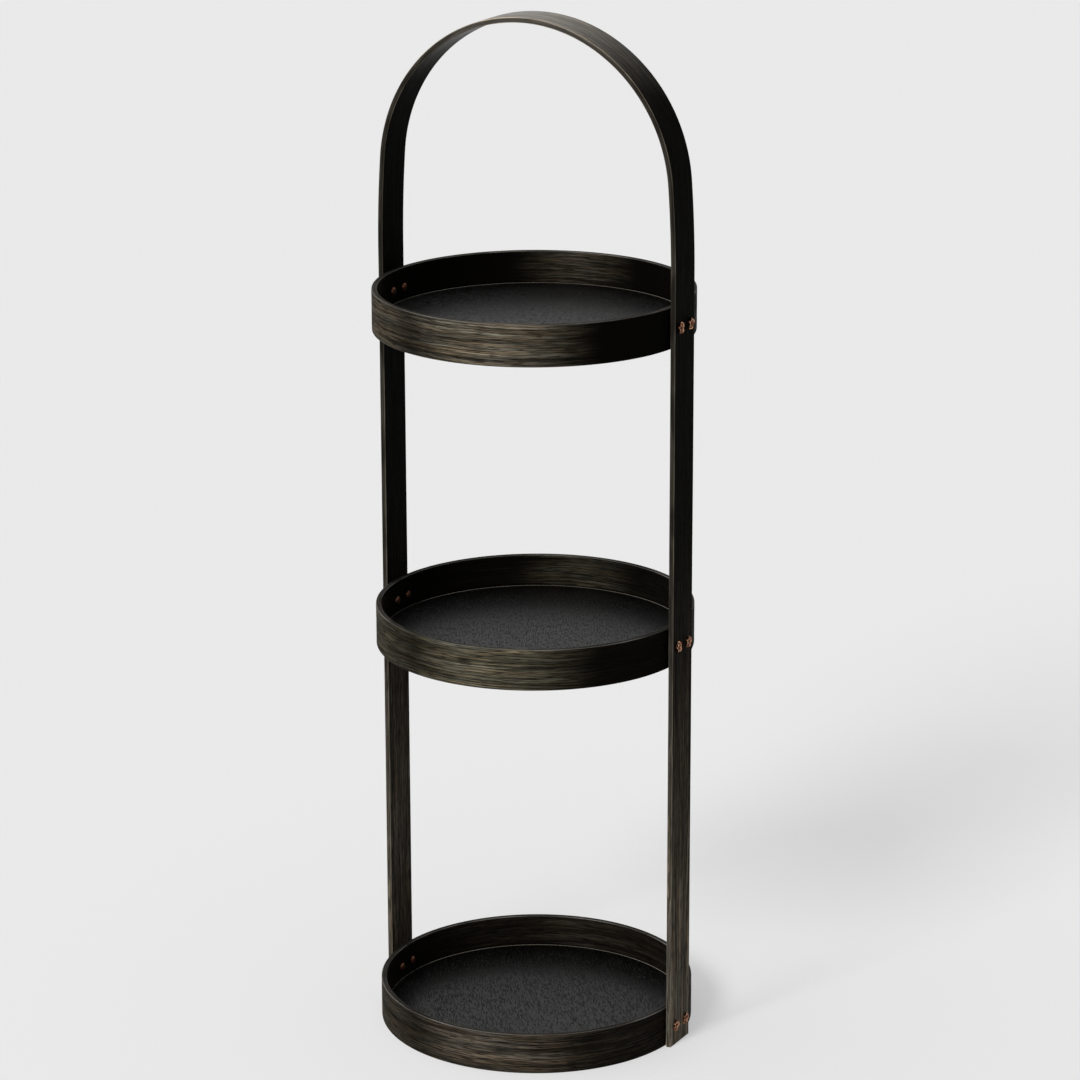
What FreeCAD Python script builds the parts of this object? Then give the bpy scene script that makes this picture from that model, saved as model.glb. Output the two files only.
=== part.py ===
import FreeCAD, Part
import math
import os

# Round three-tier caddy of bent oak: one strap bent into two legs and an arched carrying
# handle, three trays hung between the legs, and copper rivets. Sizes are in millimetres.
# The origin is on the surface it stands on, below the centre of the trays. X runs from leg
# to leg, Y across the strap and Z up.

# Bent oak strip, the same stock for the strap and for the three tray rims
strip_thickness = 4.5
strip_width = 34.0
strip_arris = 0.8           # rounding of every long edge

# Trays: a hoop of strip with a round board let into it
tray_radius = 130.0         # outside of the rim
middle_tray_height = 328.0  # lower edge of the rim above the ground
top_tray_height = 591.0
board_thickness = 5.0
board_recess = 2.0          # underside of the board above the rim's lower edge
board_groove_depth = 1.5    # how far the board reaches into the rim's wall
board_fit = 0.1             # clearance round the board and above it in its groove
board_arris = 0.4

# Strap
strap_gap = 0.1             # from the strap to the rim where they come nearest
straight_above_rim = 19.0   # leg above the top rim before it starts to lean in
leg_sweep_radius = 1010.0   # long bend that leans each leg in, on its outer face
leg_lean = 4.36             # degrees that the leg leans where the arch begins

# Split rivets, two side by side at each joint of strap and rim
rivet_pitch = 17.5
rivet_shank_radius = 2.0
rivet_head_radius = 3.8
rivet_head_rise = 1.7
rivet_hole_clearance = 0.1
rivet_seat_clearance = 0.15
rivet_leg_thickness = 1.7
rivet_leg_width = 5.0       # hammered wider than the shank
rivet_curl_radius = 1.4     # from the middle of a leg to the centre of its curl

# Degrees that the spread legs of each rivet are turned from level, as the hammer left them:
# the front rivet of the joint, then the back one
rivet_turns = {
    "top_left": (70, 105), "top_right": (80, 62),
    "middle_left": (98, 55), "middle_right": (88, 60),
    "bottom_left": (60, 82), "bottom_right": (48, 42),
}

# Worked out from the sizes above
tray_heights = {"bottom": 0.0, "middle": middle_tray_height, "top": top_tray_height}
rim_inner_radius = tray_radius - strip_thickness
strap_inner_x = tray_radius + strap_gap
strap_outer_x = strap_inner_x + strip_thickness
leg_straight_height = top_tray_height + strip_width + straight_above_rim
lean = math.radians(leg_lean)
arch_radius = leg_sweep_radius - (leg_sweep_radius - strap_outer_x) / math.cos(lean)
arch_centre_z = leg_straight_height + (leg_sweep_radius - arch_radius) * math.sin(lean)
rivet_seat_x = math.sqrt(rim_inner_radius ** 2 - (rivet_pitch / 2 - rivet_head_radius) ** 2)
rivet_grip = strap_outer_x - rivet_seat_x

ALONG_X = FreeCAD.Vector(1, 0, 0)
ALONG_Y = FreeCAD.Vector(0, 1, 0)
ALONG_Z = FreeCAD.Vector(0, 0, 1)
ORIGIN = FreeCAD.Vector(0, 0, 0)


def joint_places(tray_height):
    """The two rivet places, as y and z, of each joint at a tray."""
    z = tray_height + strip_width / 2
    return [(-rivet_pitch / 2, z), (rivet_pitch / 2, z)]


def rivet_holes(tray_height):
    """Drills for the four rivets of a tray, through both legs and the rim."""
    radius = rivet_shank_radius + rivet_hole_clearance
    drills = []
    for y, z in joint_places(tray_height):
        for side in (-1, 1):
            start = FreeCAD.Vector(side * (rim_inner_radius - strip_thickness), y, z)
            drills.append(Part.makeCylinder(radius, 3 * strip_thickness + strap_gap, start, ALONG_X * side))
    return drills


def head_seats(tray_height):
    """Flats pressed into the curved inside of a rim, under the rivet heads."""
    radius = rivet_head_radius + rivet_seat_clearance
    seats = []
    for y, z in joint_places(tray_height):
        for side in (-1, 1):
            start = FreeCAD.Vector(side * (rivet_seat_x - strip_thickness), y, z)
            seats.append(Part.makeCylinder(radius, strip_thickness, start, ALONG_X * side))
    return seats


def arch_point(centre_x, centre_z, radius, angle):
    """A point of the strap's side view, at an angle in degrees above level."""
    turn = math.radians(angle)
    return FreeCAD.Vector(centre_x + radius * math.cos(turn), -strip_width / 2,
                          centre_z + radius * math.sin(turn))


def strap_line(depth):
    """Edges of the strap's side view, a depth inside its outer face, from right foot to left foot."""
    sweep = leg_sweep_radius - depth
    arch = arch_radius - depth
    sweep_x = strap_outer_x - leg_sweep_radius
    right_foot = FreeCAD.Vector(strap_outer_x - depth, -strip_width / 2, 0)
    left_foot = FreeCAD.Vector(depth - strap_outer_x, -strip_width / 2, 0)
    right = [arch_point(sweep_x, leg_straight_height, sweep, leg_lean * part) for part in (0, 0.5, 1)]
    crown = arch_point(0, arch_centre_z, arch, 90)
    left = [arch_point(-sweep_x, leg_straight_height, sweep, 180 - leg_lean * part) for part in (1, 0.5, 0)]
    return [
        Part.makeLine(right_foot, right[0]),
        Part.Arc(*right).toShape(),
        Part.Arc(right[2], crown, left[0]).toShape(),
        Part.Arc(*left).toShape(),
        Part.makeLine(left[2], left_foot),
    ]


def handle_strap():
    """One strip bent into two upright legs and the arch of the handle."""
    outer = strap_line(0)
    inner = strap_line(strip_thickness)
    feet = [
        Part.makeLine(outer[0].Vertexes[0].Point, inner[0].Vertexes[0].Point),
        Part.makeLine(outer[-1].Vertexes[-1].Point, inner[-1].Vertexes[-1].Point),
    ]
    outline = Part.Wire(Part.sortEdges(outer + feet + inner)[0])
    strap = Part.Face(outline).extrude(ALONG_Y * strip_width)
    long_edges = [edge for edge in strap.Edges
                  if edge.BoundBox.YLength < strip_arris and edge.BoundBox.ZLength > strip_thickness]
    strap = strap.makeFillet(strip_arris, long_edges)
    for height in tray_heights.values():
        strap = strap.cut(rivet_holes(height))
    return strap


def tray_rim(height):
    """A hoop of strip, grooved inside for the board."""
    rim = Part.makeCylinder(tray_radius, strip_width).cut(Part.makeCylinder(rim_inner_radius, strip_width))
    long_edges = [edge for edge in rim.Edges if edge.BoundBox.ZLength < strip_arris]
    rim = rim.makeFillet(strip_arris, long_edges)
    groove = Part.makeCylinder(rim_inner_radius + board_groove_depth, board_thickness + board_fit,
                               ALONG_Z * board_recess)
    rim = rim.cut(groove)
    rim.translate(ALONG_Z * height)
    return rim.cut(rivet_holes(height) + head_seats(height))


def tray_floor(height):
    """The round board that the rim holds in its groove."""
    board = Part.makeCylinder(rim_inner_radius + board_groove_depth - board_fit, board_thickness,
                              ALONG_Z * (height + board_recess))
    edges = [edge for edge in board.Edges if edge.BoundBox.ZLength < board_arris]
    return board.makeFillet(board_arris, edges)


def rivet_head():
    """A low dome with a flat underside at x = 0, standing out towards -X."""
    ball = (rivet_head_radius ** 2 + rivet_head_rise ** 2) / (2 * rivet_head_rise)
    dome = Part.makeSphere(ball, ALONG_X * (ball - rivet_head_rise))
    return dome.common(Part.makeCylinder(rivet_head_radius, rivet_head_rise, ALONG_X * -rivet_head_rise, ALONG_X))


def rivet_leg():
    """Half of the split shank, curled outwards until its tip meets the strap's face again."""
    start = rivet_shank_radius / 2
    centre = FreeCAD.Vector(rivet_grip, start, 0)
    section = Part.Ellipse(centre + ALONG_Z * (rivet_leg_width / 2),
                           centre + ALONG_Y * (rivet_leg_thickness / 2), centre)
    face = Part.Face(Part.Wire(section.toShape()))
    return face.revolve(centre + ALONG_Y * rivet_curl_radius, ALONG_Z, 180)


def rivet(side, y, z, turn):
    """A split rivet: head inside the tray, shank through rim and strap, legs spread outside."""
    shank = Part.makeCylinder(rivet_shank_radius, rivet_grip, ORIGIN, ALONG_X)
    other_leg = rivet_leg()
    other_leg.rotate(ORIGIN, ALONG_X, 180)
    body = rivet_head().fuse([shank, rivet_leg(), other_leg]).removeSplitter()
    body.rotate(ORIGIN, ALONG_X, turn)
    if side < 0:
        body.rotate(ORIGIN, ALONG_Z, 180)
    body.translate(FreeCAD.Vector(side * rivet_seat_x, y, z))
    return body


def all_parts():
    """Every sub-part by its node name."""
    parts = {"handle_strap": handle_strap()}
    for tier, height in tray_heights.items():
        parts[tier + "_tray_rim"] = tray_rim(height)
        parts[tier + "_tray_floor"] = tray_floor(height)
        for side_name, side in (("left", -1), ("right", 1)):
            turns = rivet_turns[tier + "_" + side_name]
            for row, (y, z), turn in zip(("front", "back"), joint_places(height), turns):
                parts["_".join(("rivet", tier, side_name, row))] = rivet(side, y, z, turn)
    return parts


os.makedirs("parts", exist_ok=True)
for name, shape in all_parts().items():
    shape.exportStep("parts/" + name + ".step")
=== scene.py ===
import math

import bmesh
import bpy
from mathutils import Matrix, Vector


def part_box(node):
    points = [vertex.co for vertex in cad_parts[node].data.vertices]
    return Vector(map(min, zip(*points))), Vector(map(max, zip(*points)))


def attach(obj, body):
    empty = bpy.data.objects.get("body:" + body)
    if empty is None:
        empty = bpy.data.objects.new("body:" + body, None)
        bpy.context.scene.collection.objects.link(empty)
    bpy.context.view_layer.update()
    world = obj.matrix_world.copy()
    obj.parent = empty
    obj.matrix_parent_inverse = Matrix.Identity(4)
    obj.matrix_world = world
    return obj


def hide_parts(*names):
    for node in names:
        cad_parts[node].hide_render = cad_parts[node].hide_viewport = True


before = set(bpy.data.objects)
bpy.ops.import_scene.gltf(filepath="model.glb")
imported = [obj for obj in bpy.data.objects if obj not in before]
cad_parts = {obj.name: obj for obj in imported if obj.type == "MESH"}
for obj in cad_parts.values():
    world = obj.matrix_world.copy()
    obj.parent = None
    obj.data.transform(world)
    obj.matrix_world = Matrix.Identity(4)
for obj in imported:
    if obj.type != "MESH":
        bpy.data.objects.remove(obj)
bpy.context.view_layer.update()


# ---------------------------------------------------------------- tray rims
# Three hoops of oak strip, steamed and bent to a circle, with a groove inside for the board.
# Open-grained oak under a near-black stain: brown shows on the ridges, more where painted light falls, and
# the arrises carry a pale painted highlight.

TIERS = ("bottom", "middle", "top")
STRIP_THICKNESS = 0.0045
ARRIS = 0.0008             # rounding of every long edge
ARRIS_STEPS = 4
ACROSS_SPACING = 0.0014    # between the points of the strip's section
RIPPLE = 0.0002
BOARD_RECESS = 0.002       # underside of the board above the rim's lower edge
BOARD_THICKNESS = 0.005
GROOVE_DEPTH = 0.0015
GROOVE_SLACK = 0.0001
RIM_STEPS = 360
RIM_SPACING = 0.0022       # between the sections along a hoop
RIM_RIPPLE_SEED = 3.0
RIM_GRAIN_SHIFT = 1.7      # along the strip, so that no two rims are cut from the same grain

GRAIN_DRIFT = 0.008
OAK_PORE = (0.002, 0.002, 0.0015, 1.0)
RAW_OAK = (0.75, 0.60, 0.42, 1.0)
WARM_TINT = (1.05, 0.96, 0.84)
COOL_TINT = (0.96, 1.01, 1.03)
OAK_SPECULAR = 0.008
POLISH_ROUGHNESS = 0.30
RIM_BLACK = (0.0028, 0.0024, 0.0018, 1.0)
# The brown is paler on the upper rims: painted light, stronger towards the top.
RIM_BROWN = {"bottom": (0.140, 0.115, 0.088, 1.0), "middle": (0.265, 0.236, 0.168, 1.0),
             "top": (0.360, 0.308, 0.232, 1.0)}
# A painted highlight on the arrises.
RIM_ARRIS_HIGHLIGHT = (0.150, 0.142, 0.128, 1.0)
RIM_NARROW_FACE = (0.032, 0.030, 0.027, 1.0)
# How far the brown shows through everywhere, and the places of painted light where it shows more:
# degrees from the front towards the right, share, and reach in metres.
RIM_LEAST_BROWN = {"bottom": 0.14, "middle": 0.02, "top": 0.0}
RIM_PAINTED_LIGHT = ((12, 1.0, 0.092), (-42, 0.36, 0.090), (192, 0.30, 0.060))


def node(tree, kind, inputs=None, **settings):
    """Adds a node. inputs maps a socket's name or number to a value or to another node's socket."""
    made = tree.nodes.new(kind)
    for key, value in settings.items():
        setattr(made, key, value)
    for key, value in (inputs or {}).items():
        if isinstance(value, bpy.types.NodeSocket):
            tree.links.new(value, made.inputs[key])
        else:
            made.inputs[key].default_value = value
    return made


def calc(tree, operation, *values):
    """A Math node's result. The values are numbers or sockets."""
    return node(tree, "ShaderNodeMath", dict(enumerate(values)), operation=operation).outputs[0]


def scaled(tree, vector, scale):
    """A vector times a fixed scale for each axis."""
    return node(tree, "ShaderNodeVectorMath", {0: vector, 1: scale}, operation="MULTIPLY").outputs[0]


def noise(tree, vector, scale, detail=2.0, roughness=0.5):
    """Smooth noise from 0 to 1, stretched by the scale of each axis."""
    made = node(tree, "ShaderNodeTexNoise", {"Vector": scaled(tree, vector, scale), "Scale": 1.0,
                                             "Detail": detail, "Roughness": roughness})
    return made.outputs[0]


def between(tree, value, low, high, to_low=0.0, to_high=1.0):
    """A value from low to high mapped smoothly to a new range."""
    made = node(tree, "ShaderNodeMapRange", {"Value": value, "From Min": low, "From Max": high,
                                             "To Min": to_low, "To Max": to_high},
                interpolation_type="SMOOTHSTEP")
    return made.outputs[0]


def blend_colour(tree, factor, first, second):
    """Two colours mixed; each is a colour or a socket."""
    made = node(tree, "ShaderNodeMix", {0: factor, 6: first, 7: second}, data_type="RGBA")
    return made.outputs[2]


def geometry_tree(name, sizes):
    """An empty geometry tree with a Geometry input, one named input for each size, and its two ends."""
    tree = bpy.data.node_groups.new(name, "GeometryNodeTree")
    tree.interface.new_socket("Geometry", in_out="INPUT", socket_type="NodeSocketGeometry")
    for label, kind in sizes.items():
        tree.interface.new_socket(label, in_out="INPUT", socket_type="NodeSocket" + kind)
    tree.interface.new_socket("Geometry", in_out="OUTPUT", socket_type="NodeSocketGeometry")
    return tree, node(tree, "NodeGroupInput").outputs, node(tree, "NodeGroupOutput").inputs


def keep(tree, geometry, label, kind, value):
    """Captures a value on the points of a geometry; gives the geometry and the kept value."""
    made = tree.nodes.new("GeometryNodeCaptureAttribute")
    made.capture_items.new(kind, label)
    tree.links.new(geometry, made.inputs["Geometry"])
    tree.links.new(value, made.inputs[label])
    return made.outputs["Geometry"], made.outputs[label]


def grow(name, carrier, tree, sizes):
    """Runs a tree on a carrier object and keeps the result as a plain mesh object of that name."""
    bpy.context.collection.objects.link(carrier)
    modifier = carrier.modifiers.new("grow", "NODES")
    modifier.node_group = tree
    for socket in tree.interface.items_tree:
        if socket.in_out == "INPUT" and socket.name in sizes:
            modifier[socket.identifier] = sizes[socket.name]
    depsgraph = bpy.context.evaluated_depsgraph_get()
    depsgraph.update()
    mesh = bpy.data.meshes.new_from_object(carrier.evaluated_get(depsgraph),
                                           preserve_all_data_layers=True, depsgraph=depsgraph)
    mesh.name = name
    bpy.data.objects.remove(carrier)
    piece = bpy.data.objects.new(name, mesh)
    bpy.context.collection.objects.link(piece)
    return piece


def line_carrier(name, points, closed):
    """A curve object of straight steps through the points."""
    curve = bpy.data.curves.new(name, "CURVE")
    curve.dimensions = "3D"
    spline = curve.splines.new("POLY")
    spline.points.add(len(points) - 1)
    for place, point in zip(spline.points, points):
        place.co = (*point, 1.0)
    spline.use_cyclic_u = closed
    return bpy.data.objects.new(name, curve)


def strip_section(width, groove=None):
    """The strip's section as (across, depth) points, with rounded arrises and perhaps a groove inside."""
    half_width, half_depth = width / 2, STRIP_THICKNESS / 2
    points = []
    for corner, (side, face) in enumerate(((1, -1), (1, 1), (-1, 1), (-1, -1))):
        for turn in range(ARRIS_STEPS + 1):
            angle = math.radians(90 * (corner - 1 + turn / ARRIS_STEPS))
            points.append((side * (half_width - ARRIS) + ARRIS * math.cos(angle),
                           face * (half_depth - ARRIS) + ARRIS * math.sin(angle)))
    count = round((width - 2 * ARRIS) / ACROSS_SPACING)
    flat = [-half_width + ARRIS + (width - 2 * ARRIS) * i / count for i in range(1, count)]
    outside = [(across, half_depth) for across in reversed(flat)]
    inside = [(across, -half_depth) for across in flat]
    if groove:
        low, high = groove
        wall = [(low, -half_depth), (low, -half_depth + GROOVE_DEPTH),
                (high, -half_depth + GROOVE_DEPTH), (high, -half_depth)]
        inside = ([p for p in inside if p[0] < low - ARRIS] + wall
                  + [p for p in inside if p[0] > high + ARRIS])
    edge = len(points) // 2
    return points[:edge] + outside + points[edge:] + inside


def bent_strip_tree():
    """Sweeps a strip's section along a path and marks every place with where it was in the flat strip."""
    tree, given, result = geometry_tree("bent_strip", {
        "Section": "Object", "Across": "Vector", "Spacing": "Float", "Length": "Float",
        "Ripple": "Float", "Seed": "Float", "Finish": "Material"})
    path = node(tree, "GeometryNodeResampleCurve",
                {"Curve": given["Geometry"], "Length": given["Spacing"]}, mode="LENGTH").outputs[0]
    path = node(tree, "GeometryNodeSetCurveNormal",
                {"Curve": path, "Normal": given["Across"]}, mode="FREE").outputs[0]
    along = node(tree, "GeometryNodeSplineParameter").outputs["Length"]
    path, along = keep(tree, path, "Along", "FLOAT", along)
    section = node(tree, "GeometryNodeObjectInfo", {"Object": given["Section"]}).outputs["Geometry"]
    position = node(tree, "GeometryNodeInputPosition").outputs[0]
    section, place = keep(tree, section, "Place", "VECTOR", position)
    strip = node(tree, "GeometryNodeCurveToMesh", {"Curve": path, "Profile Curve": section,
                                                   "Fill Caps": True}).outputs[0]
    # On a hoop the last stretch ends at the full length, not back at nothing. An open path's Length
    # is given as 0, which leaves it as it is.
    mean = node(tree, "GeometryNodeFieldOnDomain", {0: along}, data_type="FLOAT", domain="FACE").outputs[0]
    quarter = calc(tree, "MULTIPLY", given["Length"], 0.25)
    wrapped = calc(tree, "LESS_THAN", along, calc(tree, "SUBTRACT", mean, quarter))
    along_face = calc(tree, "MULTIPLY_ADD", wrapped, given["Length"], along)
    sides = node(tree, "ShaderNodeSeparateXYZ", {0: place}).outputs
    grain = node(tree, "ShaderNodeCombineXYZ",
                 {"X": along_face, "Y": sides["X"], "Z": sides["Y"]}).outputs[0]
    strip = node(tree, "GeometryNodeStoreNamedAttribute",
                 {"Geometry": strip, "Name": "grain", "Value": grain},
                 data_type="FLOAT_VECTOR", domain="CORNER").outputs[0]
    # A slight ripple runs along the bent wood. It only sinks in, so the strip keeps inside its size.
    where = node(tree, "ShaderNodeCombineXYZ",
                 {"X": along, "Y": sides["X"], "Z": given["Seed"]}).outputs[0]
    ripple = calc(tree, "SUBTRACT", noise(tree, where, (9.0, 130.0, 1.0)), 1.0)
    push = calc(tree, "MULTIPLY", ripple, given["Ripple"])
    normal = node(tree, "GeometryNodeInputNormal").outputs[0]
    offset = node(tree, "ShaderNodeVectorMath", {0: normal, "Scale": push}, operation="SCALE").outputs[0]
    strip = node(tree, "GeometryNodeSetPosition", {"Geometry": strip, "Offset": offset}).outputs[0]
    strip = node(tree, "GeometryNodeSetShadeSmooth", {"Geometry": strip}).outputs[0]
    strip = node(tree, "GeometryNodeRealizeInstances", {"Geometry": strip}).outputs[0]
    strip = node(tree, "GeometryNodeSetMaterial",
                 {"Geometry": strip, "Material": given["Finish"]}).outputs[0]
    tree.links.new(strip, result["Geometry"])
    return tree


def wear_and_painted_light(tree, along, places, least=0.0):
    """A mask of places along the strip, for wear and for painted light. Each place has its share and its
    reach.
    """
    factor = least
    for place, share, reach in places:
        away = calc(tree, "ABSOLUTE", calc(tree, "SUBTRACT", along, place))
        factor = calc(tree, "MAXIMUM", factor, between(tree, away, 0.0, reach, share, least))
    return factor


def stained_oak(name, width, black, brown, arris, narrow_face, shift, painted_light_places,
                least_brown=0.0, bare=(), polished=()):
    """Open-grained oak, stained black and oiled. It reads where each place was in the flat strip.

    The places given for the brown are painted light, where it shows through more; bare says where the
    arrises are rubbed through to the oak, and polished where hands have polished it. The arris colour is a
    painted highlight. shift moves the grain along the strip.
    """
    material = bpy.data.materials.new(name)
    material.use_nodes = True
    tree = material.node_tree
    shader = tree.nodes["Principled BSDF"]
    flat = node(tree, "ShaderNodeAttribute", attribute_name="grain").outputs["Vector"]
    place = node(tree, "ShaderNodeVectorMath", {0: flat, 1: (shift, 0.0, 0.0)}, operation="ADD").outputs[0]
    axes = node(tree, "ShaderNodeSeparateXYZ", {0: place}).outputs
    # Going along the strip, the grain wanders a few millimetres sideways.
    wandering = calc(tree, "SUBTRACT", noise(tree, place, (5.0, 22.0, 25.0)), 0.5)
    drift = calc(tree, "MULTIPLY", wandering, GRAIN_DRIFT)
    drifted = calc(tree, "ADD", axes["Y"], drift)
    line = node(tree, "ShaderNodeCombineXYZ", {"X": axes["X"], "Y": drifted, "Z": axes["Z"]}).outputs[0]
    rings = between(tree, noise(tree, line, (3.0, 120.0, 60.0), 2.0), 0.38, 0.62, 0.60, 1.0)
    streaks = between(tree, noise(tree, line, (24.0, 1300.0, 700.0), 2.0, 0.6), 0.36, 0.64, 0.24, 1.0)
    blots = between(tree, noise(tree, line, (10.0, 480.0, 300.0), 1.0), 0.36, 0.50, 0.45, 1.0)
    pores = between(tree, noise(tree, line, (70.0, 1500.0, 900.0), 1.0), 0.52, 0.60)
    warmth = between(tree, noise(tree, line, (22.0, 420.0, 250.0), 2.0), 0.38, 0.62)
    ridge = calc(tree, "MULTIPLY", calc(tree, "MULTIPLY", rings, streaks), blots)
    along = node(tree, "ShaderNodeSeparateXYZ", {0: flat}).outputs["X"]
    # Painted light: the brown shows through more at the places where the light falls.
    ridge = calc(tree, "MULTIPLY", ridge, wear_and_painted_light(tree, along, painted_light_places, least_brown))
    warm, cool = [(*(level * share for level, share in zip(brown, tint)), 1.0)
                  for tint in (WARM_TINT, COOL_TINT)]
    colour = blend_colour(tree, ridge, black, blend_colour(tree, warmth, cool, warm))
    colour = blend_colour(tree, calc(tree, "MULTIPLY", pores, 0.7), colour, OAK_PORE)
    # The narrow faces are paler in patches, and their arrises palest, as a painted highlight.
    sides = (calc(tree, "ABSOLUTE", axes["Y"]), calc(tree, "ABSOLUTE", axes["Z"]))
    narrow, deep = [between(tree, side, half - ARRIS, half - ARRIS * 0.5)
                    for side, half in zip(sides, (width / 2, STRIP_THICKNESS / 2))]
    patches = between(tree, noise(tree, line, (16.0, 0.0, 90.0), 2.0), 0.42, 0.58, 0.35, 1.0)
    rub = calc(tree, "MULTIPLY", between(tree, streaks, 0.2, 1.0, 0.7, 1.0), patches)
    colour = blend_colour(tree, calc(tree, "MULTIPLY", narrow, rub), colour, narrow_face)
    corner = calc(tree, "MULTIPLY", narrow, deep)
    arris = blend_colour(tree, wear_and_painted_light(tree, along, bare), arris, RAW_OAK)
    colour = blend_colour(tree, calc(tree, "MULTIPLY", corner, rub), colour, arris)
    tree.links.new(colour, shader.inputs["Base Color"])
    tree.links.new(between(tree, streaks, 0.2, 1.0, 0.65, 0.5), shader.inputs["Roughness"])
    shader.inputs["Specular IOR Level"].default_value = OAK_SPECULAR
    if polished:
        tree.links.new(wear_and_painted_light(tree, along, polished), shader.inputs["Coat Weight"])
        shader.inputs["Coat Roughness"].default_value = POLISH_ROUGHNESS
    height = calc(tree, "SUBTRACT", streaks, pores)
    bump = node(tree, "ShaderNodeBump", {"Height": height, "Strength": 0.5, "Distance": 0.0002})
    tree.links.new(bump.outputs[0], shader.inputs["Normal"])
    return material


strip_tree = bent_strip_tree()
for number, tier in enumerate(TIERS):
    rim_low, rim_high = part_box(tier + "_tray_rim")
    rim_height = rim_high.z - rim_low.z
    rim_middle = (rim_high.z + rim_low.z) / 2
    rim_line = rim_high.x - STRIP_THICKNESS / 2
    rim_length = math.tau * rim_line
    # The hoop starts inside the left leg and goes round by the front.
    turns = [math.tau * step / RIM_STEPS for step in range(RIM_STEPS)]
    path = [(-rim_line * math.cos(turn), -rim_line * math.sin(turn), rim_middle) for turn in turns]
    groove_low = BOARD_RECESS - rim_height / 2
    groove = (groove_low, groove_low + BOARD_THICKNESS + GROOVE_SLACK)
    section = line_carrier("rim_section", [(x, y, 0.0) for x, y in strip_section(rim_height, groove)], True)
    # Painted light: the brown shows more where the light falls on the hoop.
    painted_light_places = [(rim_line * (math.pi / 2 + math.radians(azimuth)), share, reach)
            for azimuth, share, reach in RIM_PAINTED_LIGHT]
    oak = stained_oak(tier + "_rim_oak", rim_height, RIM_BLACK, RIM_BROWN[tier], RIM_ARRIS_HIGHLIGHT,
                      RIM_NARROW_FACE, RIM_GRAIN_SHIFT * number, painted_light_places, RIM_LEAST_BROWN[tier])
    rim = grow(tier + "_rim_hoop", line_carrier("rim_path", path, True), strip_tree, {
        "Section": section, "Across": (0.0, 0.0, 1.0), "Spacing": RIM_SPACING, "Length": rim_length,
        "Ripple": RIPPLE, "Seed": RIM_RIPPLE_SEED + number, "Finish": oak})
    bpy.data.objects.remove(section)
    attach(rim, "root")
    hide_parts(tier + "_tray_rim")


# ---------------------------------------------------------------- tray boards
# A round board faced with oak and let into each rim's groove, stained black and oiled to a low
# gloss. Its pores are short dark dashes all one way, and a fine pale line, a painted highlight, runs where
# it meets the rim.

BOARD_GRAIN = {"bottom": 35.0, "middle": 20.0, "top": -12.0}   # degrees off front to back
BOARD_EDGE = 0.0008
BOARD_WANDER = 0.006
BOARD_BLACK = (0.0008, 0.0008, 0.0007, 1.0)
BOARD_BROWN = (0.0024, 0.0022, 0.0019, 1.0)
BOARD_PORE = (0.0006, 0.0006, 0.0005, 1.0)
BOARD_LINE_HIGHLIGHT = (0.32, 0.29, 0.24, 1.0)
BOARD_SPECULAR = 0.12


def wander(tree, vector, scale, reach):
    """A vector moved sideways by smooth noise, up to about half of reach each way."""
    moved = node(tree, "ShaderNodeTexNoise", {"Vector": scaled(tree, vector, scale), "Scale": 1.0,
                                              "Detail": 1.0})
    centred = node(tree, "ShaderNodeVectorMath", {0: moved.outputs["Color"], 1: (0.5, 0.5, 0.5)},
                   operation="SUBTRACT").outputs[0]
    return node(tree, "ShaderNodeVectorMath", {0: vector, 1: scaled(tree, centred, (reach, reach, 0.0))},
                operation="ADD").outputs[0]


def board_face(name, turn, radius):
    """Stained and oiled oak, its grain turned by some degrees. The rim's wall stands at the radius."""
    material = bpy.data.materials.new(name)
    material.use_nodes = True
    tree = material.node_tree
    shader = tree.nodes["Principled BSDF"]
    spot = node(tree, "ShaderNodeTexCoord").outputs["Object"]
    line = node(tree, "ShaderNodeMapping", {"Vector": spot, "Rotation": (0.0, 0.0, -math.radians(turn))},
                vector_type="POINT").outputs[0]
    line = wander(tree, line, (14.0, 6.0, 1.0), BOARD_WANDER)
    pores = between(tree, noise(tree, line, (1250.0, 170.0, 60.0), 1.0, 0.6), 0.52, 0.62)
    fibres = noise(tree, line, (420.0, 20.0, 60.0), 3.0, 0.5)
    clouds = noise(tree, line, (26.0, 9.0, 10.0), 2.0)
    tone = calc(tree, "MULTIPLY_ADD", fibres, 0.5, calc(tree, "MULTIPLY", clouds, 0.5))
    colour = blend_colour(tree, between(tree, tone, 0.38, 0.62), BOARD_BLACK, BOARD_BROWN)
    colour = blend_colour(tree, pores, colour, BOARD_PORE)
    reach = node(tree, "ShaderNodeVectorMath", {0: scaled(tree, spot, (1.0, 1.0, 0.0))},
                 operation="LENGTH").outputs["Value"]
    # A painted highlight: a fine pale line where the board meets the rim's wall.
    edge = between(tree, reach, radius - BOARD_EDGE, radius - BOARD_EDGE * 0.7)
    colour = blend_colour(tree, calc(tree, "MULTIPLY", edge, 0.7), colour, BOARD_LINE_HIGHLIGHT)
    tree.links.new(colour, shader.inputs["Base Color"])
    tree.links.new(between(tree, pores, 0.0, 1.0, 0.30, 0.6), shader.inputs["Roughness"])
    shader.inputs["Specular IOR Level"].default_value = BOARD_SPECULAR
    height = calc(tree, "SUBTRACT", calc(tree, "MULTIPLY", fibres, 0.6), pores)
    bump = node(tree, "ShaderNodeBump", {"Height": height, "Strength": 0.6, "Distance": 0.0003})
    tree.links.new(bump.outputs[0], shader.inputs["Normal"])
    return material


for tier in TIERS:
    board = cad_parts[tier + "_tray_floor"]
    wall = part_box(tier + "_tray_rim")[1].x - STRIP_THICKNESS
    board.data.materials.clear()
    board.data.materials.append(board_face(tier + "_board_face", BOARD_GRAIN[tier], wall))


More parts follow.
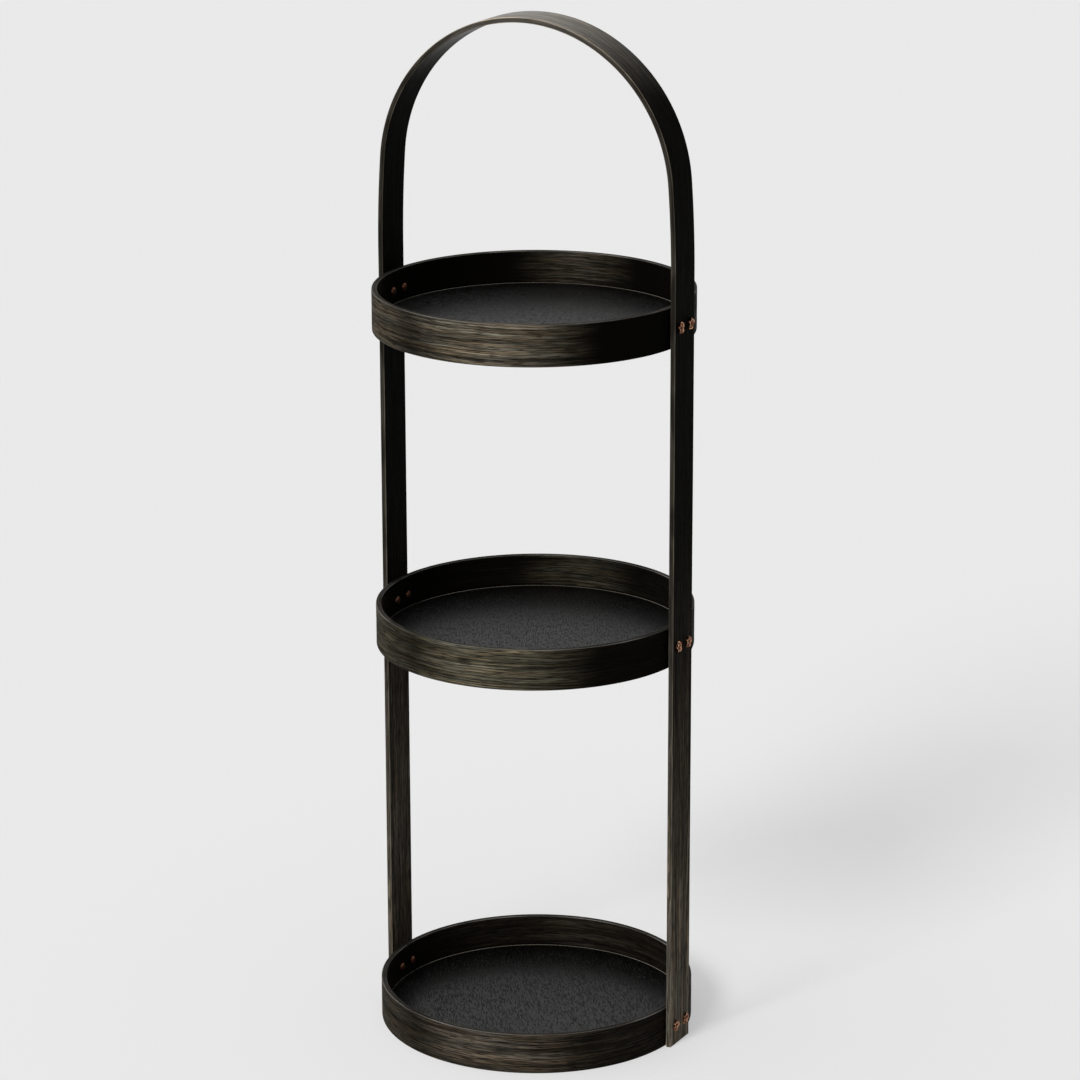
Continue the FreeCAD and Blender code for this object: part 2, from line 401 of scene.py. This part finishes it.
# ---------------------------------------------------------------- handle strap
# One oak strip bent into two legs and the arch of the handle, standing on its two cut ends.
# It has the rims' stain, painted paler towards its feet as painted light. Its crown is paler too, partly
# worn by hands and partly a painted sheen, and hands have polished it. Its arrises carry a painted
# highlight, paler still at the crown, and are rubbed bare at its feet.

LEG_SWEEP = 1.010              # radius of the long bend that leans each leg in
LEG_LEAN = math.radians(4.36)  # lean of the leg where the arch begins
STRAIGHT_ABOVE_RIM = 0.019
STRAP_STEPS = 300
STRAP_SPACING = 0.0030
STRAP_RIPPLE_SEED = 11.0
STRAP_GRAIN_SHIFT = 9.1

STRAP_BLACK = (0.0018, 0.0015, 0.0010, 1.0)
STRAP_BROWN = (0.370, 0.318, 0.250, 1.0)
# A painted highlight on the arrises.
STRAP_ARRIS_HIGHLIGHT = (0.190, 0.165, 0.125, 1.0)
STRAP_NARROW_FACE = (0.052, 0.046, 0.037, 1.0)

strap_low, strap_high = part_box("handle_strap")
strap_width = strap_high.y - strap_low.y
leg_x = strap_high.x
leg_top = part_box("top_tray_rim")[1].z + STRAIGHT_ABOVE_RIM
arch_radius = LEG_SWEEP - (LEG_SWEEP - leg_x) / math.cos(LEG_LEAN)
arch_z = leg_top + (LEG_SWEEP - arch_radius) * math.sin(LEG_LEAN)


def strap_place(distance):
    """The strap's middle line at a distance from the crown, as x and z, on the right side."""
    arch, sweep = arch_radius - STRIP_THICKNESS / 2, LEG_SWEEP - STRIP_THICKNESS / 2
    arch_length = arch * (math.pi / 2 - LEG_LEAN)
    sweep_length = sweep * LEG_LEAN
    if distance < arch_length:
        turn = distance / arch
        return arch * math.sin(turn), arch_z + arch * math.cos(turn)
    if distance < arch_length + sweep_length:
        turn = LEG_LEAN - (distance - arch_length) / sweep
        return leg_x - LEG_SWEEP + sweep * math.cos(turn), leg_top + sweep * math.sin(turn)
    return leg_x - STRIP_THICKNESS / 2, leg_top - (distance - arch_length - sweep_length)


half_strap = ((arch_radius - STRIP_THICKNESS / 2) * (math.pi / 2 - LEG_LEAN)
              + (LEG_SWEEP - STRIP_THICKNESS / 2) * LEG_LEAN + leg_top)
right_side = [strap_place(half_strap * step / STRAP_STEPS) for step in range(STRAP_STEPS + 1)]
# From the right foot over the crown to the left foot.
strap_path = [(x, 0.0, z) for x, z in reversed(right_side)] + [(-x, 0.0, z) for x, z in right_side[1:]]
section = line_carrier("strap_section", [(x, y, 0.0) for x, y in strip_section(strap_width)], True)
# Each place is its distance from the right foot, its share and its reach.
# Painted light: paler towards both feet; at the crown partly hand wear and partly a painted sheen.
strap_painted_light = ((0.0, 1.0, 0.45), (half_strap, 0.70, 0.14), (2 * half_strap, 1.0, 0.45))
# Arrises rubbed to raw oak at the feet; at the crown this makes the painted highlight paler.
strap_bare = ((0.0, 1.0, 0.012), (half_strap, 0.8, 0.16), (2 * half_strap, 1.0, 0.012))
strap_polished = ((half_strap, 0.75, 0.13),)
oak = stained_oak("strap_oak", strap_width, STRAP_BLACK, STRAP_BROWN, STRAP_ARRIS_HIGHLIGHT, STRAP_NARROW_FACE,
                  STRAP_GRAIN_SHIFT, strap_painted_light, bare=strap_bare, polished=strap_polished)
strap = grow("bent_strap", line_carrier("strap_path", strap_path, False), strip_tree, {
    "Section": section, "Across": (0.0, 1.0, 0.0), "Spacing": STRAP_SPACING, "Length": 0.0,
    "Ripple": RIPPLE, "Seed": STRAP_RIPPLE_SEED, "Finish": oak})
bpy.data.objects.remove(section)
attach(strap, "root")
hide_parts("handle_strap")


# ---------------------------------------------------------------- rivets
# Twelve split copper rivets, two at each joint. The domed head is inside the tray; outside the
# strap the two hollow legs of the split shank are hammered apart and curl back to the wood.

# Turns of the legs in degrees: the left joint's front and back rivet, then the right joint's.
RIVET_TURNS = {
    "top": ((70, 105), (80, 62)),
    "middle": ((98, 55), (88, 60)),
    "bottom": ((60, 82), (48, 42)),
}
RIVET_SLACKNESS = math.radians(4.0)
RIVET_SEED = 5
HEAD_RADIUS = 0.0038
HEAD_RISE = 0.0017
HEAD_EDGE = 0.0004
HEAD_POINT = 0.12               # flat at the top of the dome, as a share of the radius
HEAD_ROUNDNESS = 1.3
HEAD_STEPS = 8
ROUND_STEPS = 24
SHANK_RADIUS = 0.0020
SPLIT_RISE = 0.0006             # how far the shank stands out before it is split
SPLIT_TAPER = 0.8
LEG_SUNK = 0.0010
LEG_WIDTH = 0.0058
LEG_WALL = 0.0007
LEG_WALL_THINNING = 0.75        # makes a leg's wall half as thick at its long edges
LEG_HOLLOW = 0.0009
LEG_SECTION_STEPS = 8
LEG_START = 0.0006
LEG_CURL = 0.00116
LEG_CURL_TURN = math.radians(190)
LEG_CURL_STEPS = 14
LEG_SPREAD = 1.15
LEG_TIP = 0.35                  # width of the tip as a share of the leg's width
LEG_NARROWS_FROM = 0.4
CREST_FROM = 0.55

# Struck copper also paints the highlight on the legs' edges, and the patina colour also paints shade on the
# heads.
COPPER_STRUCK_AND_HIGHLIGHT = (0.76, 0.41, 0.24, 1.0)
COPPER_TARNISHED = (0.28, 0.110, 0.055, 1.0)
COPPER_PATINA_AND_SHADE = (0.035, 0.010, 0.006, 1.0)
PATINA_AND_SHADE_COVER = 0.90


def skin(mesh, rings):
    """Joins each ring of points to the next by faces, and closes both ends."""
    count = len(rings[0])
    for ring, following in zip(rings, rings[1:]):
        for i in range(count):
            mesh.faces.new((ring[i], ring[(i + 1) % count], following[(i + 1) % count], following[i]))
    mesh.faces.new(list(reversed(rings[0])))
    mesh.faces.new(rings[-1])


def leg_section(width):
    """The hollow section of a leg as (sideways, inwards) points; its long edges stand up inwards."""
    sides = [math.cos(math.pi * step / LEG_SECTION_STEPS) for step in range(LEG_SECTION_STEPS + 1)]
    inner, outer = [], []
    for side in sides:
        middle = LEG_HOLLOW * side ** 2
        half_wall = LEG_WALL / 2 * math.sqrt(1.0 - LEG_WALL_THINNING * side ** 4)
        inner.append((side * width / 2, middle + half_wall))
        outer.append((side * width / 2, middle - half_wall))
    return inner + list(reversed(outer))


def crest(share):
    """How bright a leg is, from 0 at its middle to 1 at its raised edges: struck copper and a painted
    highlight.
    """
    return max(0.0, (share - CREST_FROM) / (1.0 - CREST_FROM))


def rivet_stock(grip):
    """One rivet along +X: its head's flat underside is at 0 and its legs curl over at the grip."""
    made = bmesh.new()
    patina_and_painted_shade = made.verts.layers.float.new("patina_and_painted_shade")
    profile = [(-HEAD_RISE, HEAD_RADIUS * HEAD_POINT)]
    for step in range(1, HEAD_STEPS):
        share = step / HEAD_STEPS
        rise = (HEAD_RISE - HEAD_EDGE) * math.sqrt(1 - share ** 2) ** HEAD_ROUNDNESS
        profile.append((-HEAD_EDGE - rise, HEAD_RADIUS * share))
    profile += [(-HEAD_EDGE, HEAD_RADIUS), (0.0, HEAD_RADIUS), (0.0, SHANK_RADIUS),
                (grip, SHANK_RADIUS), (grip + SPLIT_RISE, SHANK_RADIUS * SPLIT_TAPER)]
    turns = [math.tau * step / ROUND_STEPS for step in range(ROUND_STEPS)]
    head_and_shank = [[made.verts.new((x, reach * math.cos(turn), reach * math.sin(turn)))
                       for turn in turns] for x, reach in profile]
    skin(made, head_and_shank)
    # The head and shank are painted dark: patina, and on the heads painted shade.
    for ring in head_and_shank:
        for vert in ring:
            vert[patina_and_painted_shade] = 1.0
    for side in (1, -1):
        rings = []
        for step in range(-1, LEG_CURL_STEPS + 1):
            # The leg leaves the hole, curls over, and presses its narrowed tip into the wood.
            share = max(0.0, step / LEG_CURL_STEPS)
            curl = LEG_CURL_TURN * share
            narrowed = max(0.0, share - LEG_NARROWS_FROM) / (1.0 - LEG_NARROWS_FROM)
            width = LEG_WIDTH * (1.0 - (1.0 - LEG_TIP) * narrowed ** 2)
            sunk = LEG_SUNK if step < 0 else 0.0
            ring = []
            for sideways, inwards in leg_section(min(width, 2 * SHANK_RADIUS) if step < 0 else width):
                radius = LEG_CURL + inwards
                x = grip - sunk + radius * math.sin(curl)
                y = LEG_START + (LEG_CURL - radius * math.cos(curl)) * LEG_SPREAD
                ring.append(made.verts.new((x, y * side, sideways * side)))
                # Patina in the leg's hollow, and a painted highlight along its raised edges.
                ring[-1][patina_and_painted_shade] = 1.0 - crest(abs(sideways) * 2 / width)
            rings.append(ring)
        skin(made, rings)
    bmesh.ops.recalc_face_normals(made, faces=made.faces)
    mesh = bpy.data.meshes.new("rivet_stock")
    made.to_mesh(mesh)
    made.free()
    return bpy.data.objects.new("rivet_stock", mesh)


def rivet_tree():
    """Sets a rivet at every point, faced outwards and turned as its point says."""
    tree, given, result = geometry_tree("rivets_on_points", {
        "Rivet": "Object", "Slackness": "Float", "Seed": "Int", "Finish": "Material"})
    stock = node(tree, "GeometryNodeObjectInfo", {"Object": given["Rivet"]}).outputs["Geometry"]
    facing, turn = [node(tree, "GeometryNodeInputNamedAttribute", {"Name": label},
                         data_type="FLOAT").outputs["Attribute"] for label in ("facing", "turn")]
    least = calc(tree, "MULTIPLY", given["Slackness"], -1.0)
    loose = node(tree, "FunctionNodeRandomValue",
                 {2: least, 3: given["Slackness"], "Seed": given["Seed"]}, data_type="FLOAT").outputs[1]
    euler = node(tree, "ShaderNodeCombineXYZ",
                 {"X": calc(tree, "ADD", turn, loose), "Z": facing}).outputs[0]
    rotation = node(tree, "FunctionNodeEulerToRotation", {0: euler}).outputs[0]
    rivets = node(tree, "GeometryNodeInstanceOnPoints",
                  {"Points": given["Geometry"], "Instance": stock, "Rotation": rotation}).outputs[0]
    rivets = node(tree, "GeometryNodeRealizeInstances", {"Geometry": rivets}).outputs[0]
    rivets = node(tree, "GeometryNodeSetShadeSmooth", {"Geometry": rivets}).outputs[0]
    rivets = node(tree, "GeometryNodeSetMaterial",
                  {"Geometry": rivets, "Material": given["Finish"]}).outputs[0]
    tree.links.new(rivets, result["Geometry"])
    return tree


def hammered_copper():
    """Bare copper with small hammer marks: bright where it was struck and with a painted highlight on the
    legs' raised edges, brown patina in its hollows, and painted shade on the heads.
    """
    material = bpy.data.materials.new("hammered_copper")
    material.use_nodes = True
    tree = material.node_tree
    shader = tree.nodes["Principled BSDF"]
    spot = node(tree, "ShaderNodeTexCoord").outputs["Object"]
    dents = noise(tree, spot, (600.0, 600.0, 600.0), 2.0)
    tarnish = between(tree, noise(tree, spot, (420.0, 420.0, 420.0), 2.0), 0.42, 0.58)
    patina_and_painted_shade = node(tree, "ShaderNodeAttribute", attribute_name="patina_and_painted_shade").outputs["Fac"]
    colour = blend_colour(tree, tarnish, COPPER_STRUCK_AND_HIGHLIGHT, COPPER_TARNISHED)
    # Patina in the hollows, and painted shade on the heads.
    colour = blend_colour(tree, calc(tree, "MULTIPLY", patina_and_painted_shade, PATINA_AND_SHADE_COVER), colour, COPPER_PATINA_AND_SHADE)
    tree.links.new(colour, shader.inputs["Base Color"])
    shader.inputs["Metallic"].default_value = 1.0
    tree.links.new(between(tree, tarnish, 0.0, 1.0, 0.25, 0.5), shader.inputs["Roughness"])
    bump = node(tree, "ShaderNodeBump", {"Height": dents, "Strength": 0.6, "Distance": 0.0005})
    tree.links.new(bump.outputs[0], shader.inputs["Normal"])
    return material


rivet_names, rivet_points, rivet_facing, rivet_turn = [], [], [], []
for tier in TIERS:
    for side, turns in zip(("left", "right"), RIVET_TURNS[tier]):
        for row, turn in zip(("front", "back"), turns):
            name = "_".join(("rivet", tier, side, row))
            low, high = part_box(name)
            head_x = low.x + HEAD_RISE if side == "right" else high.x - HEAD_RISE
            rivet_names.append(name)
            rivet_points.append((head_x, (low.y + high.y) / 2, (low.z + high.z) / 2))
            rivet_facing.append(0.0 if side == "right" else math.pi)
            rivet_turn.append(math.radians(turn))
points = bpy.data.meshes.new("rivet_points")
points.from_pydata(rivet_points, [], [])
for label, values in (("facing", rivet_facing), ("turn", rivet_turn)):
    points.attributes.new(label, "FLOAT", "POINT").data.foreach_set("value", values)
stock = rivet_stock(leg_x - max(point[0] for point in rivet_points))
rivets = grow("copper_rivets", bpy.data.objects.new("rivet_points", points), rivet_tree(), {
    "Rivet": stock, "Slackness": RIVET_SLACKNESS, "Seed": RIVET_SEED, "Finish": hammered_copper()})
bpy.data.objects.remove(stock)
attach(rivets, "root")
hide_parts(*rivet_names)


# ---------------------------------------------------------------- studio
# A pale floor all round, a very soft light from high on the left, a main light from the front and a
# little light from everywhere. The camera and reflections see a pale room, set apart from that light.

FLOOR_RADIUS = 14.0
FLOOR_STEPS = 64
PAPER = 0.40
PAPER_GLOW = 0.40
BOUNCE_NEAR = 0.84
BOUNCE_FAR = 0.10
BOUNCE_REACH = (0.25, 0.75)
AIR_SEEN = 0.80
AIR_LIGHT = 0.04


def seen(tree):
    """1 for what the camera, a reflection or a glass sees, 0 for light that only falls on things."""
    kind = node(tree, "ShaderNodeLightPath").outputs
    mirrored = calc(tree, "ADD", kind["Is Glossy Ray"], kind["Is Transmission Ray"])
    return calc(tree, "MINIMUM", calc(tree, "ADD", kind["Is Camera Ray"], mirrored), 1.0)


floor_mesh = bpy.data.meshes.new("studio_floor")
floor_turns = [math.tau * step / FLOOR_STEPS for step in range(FLOOR_STEPS)]
floor_rim = [(FLOOR_RADIUS * math.cos(turn), FLOOR_RADIUS * math.sin(turn), 0.0) for turn in floor_turns]
floor_mesh.from_pydata(floor_rim, [], [tuple(range(FLOOR_STEPS))])
floor = bpy.data.objects.new("studio_floor", floor_mesh)
bpy.context.collection.objects.link(floor)
floor_paper = bpy.data.materials.new("floor_paper")
floor_paper.use_nodes = True
paper = floor_paper.node_tree
paper_shader = paper.nodes["Principled BSDF"]
paper_seen = seen(paper)
paper_spot = node(paper, "ShaderNodeTexCoord").outputs["Object"]
paper_reach = node(paper, "ShaderNodeVectorMath", {0: paper_spot}, operation="LENGTH").outputs["Value"]
bounce = between(paper, paper_reach, *BOUNCE_REACH, BOUNCE_NEAR, BOUNCE_FAR)
tone = calc(paper, "MULTIPLY_ADD", paper_seen, calc(paper, "SUBTRACT", PAPER, bounce), bounce)
paper.links.new(tone, paper_shader.inputs["Base Color"])
paper.links.new(calc(paper, "MULTIPLY", paper_seen, PAPER_GLOW), paper_shader.inputs["Emission Strength"])
paper_shader.inputs["Emission Color"].default_value = (1.0, 1.0, 1.0, 1.0)
paper_shader.inputs["Roughness"].default_value = 1.0
paper_shader.inputs["Specular IOR Level"].default_value = 0.0
floor_mesh.materials.append(floor_paper)

world = bpy.data.worlds.new("studio_air")
world.use_nodes = True
bpy.context.scene.world = world
air = world.node_tree
air_strength = calc(air, "MULTIPLY_ADD", seen(air), AIR_SEEN - AIR_LIGHT, AIR_LIGHT)
air.links.new(air_strength, air.nodes["Background"].inputs["Strength"])
air.nodes["Background"].inputs["Color"].default_value = (1.0, 1.0, 1.0, 1.0)


def lamp(name, strength, azimuth, elevation, softness):
    """A far lamp of a given softness in degrees; azimuth is from the front towards the right."""
    data = bpy.data.lights.new(name, "SUN")
    data.energy = strength
    data.angle = math.radians(softness)
    azimuth, elevation = math.radians(azimuth), math.radians(elevation)
    towards = Vector((math.sin(azimuth) * math.cos(elevation), -math.cos(azimuth) * math.cos(elevation),
                      math.sin(elevation)))
    made = bpy.data.objects.new(name, data)
    made.rotation_euler = towards.to_track_quat("Z", "Y").to_euler()
    bpy.context.collection.objects.link(made)


lamp("overhead_light", strength=1.9, azimuth=-60, elevation=75, softness=90)
lamp("main_light", strength=2.4, azimuth=-8, elevation=34, softness=20)

CAMERA_AIM = Vector((0.0, 0.0, 0.4131))
CAMERA_AZIMUTH = math.radians(28.5436)
CAMERA_ELEVATION = math.radians(16.8887)
CAMERA_ROLL = math.radians(-0.1706)
CAMERA_DISTANCE = 3.33967
CAMERA_SIDESTEP = 0.004017
CAMERA_LENS = 137.007

back = Vector((math.sin(CAMERA_AZIMUTH) * math.cos(CAMERA_ELEVATION),
               -math.cos(CAMERA_AZIMUTH) * math.cos(CAMERA_ELEVATION), math.sin(CAMERA_ELEVATION)))
level = Vector((math.cos(CAMERA_AZIMUTH), math.sin(CAMERA_AZIMUTH), 0.0))
turned = Matrix((level, back.cross(level), back)).transposed() @ Matrix.Rotation(CAMERA_ROLL, 3, "Z")
camera_data = bpy.data.cameras.new("camera")
camera_data.lens = CAMERA_LENS
camera_data.sensor_width = 36.0
camera_data.clip_end = 100.0
camera = bpy.data.objects.new("camera", camera_data)
camera_spot = CAMERA_AIM + back * CAMERA_DISTANCE + level * CAMERA_SIDESTEP
camera.matrix_world = Matrix.Translation(camera_spot) @ turned.to_4x4()
bpy.context.collection.objects.link(camera)
bpy.context.scene.camera = camera
bpy.context.scene.view_settings.view_transform = "Standard"
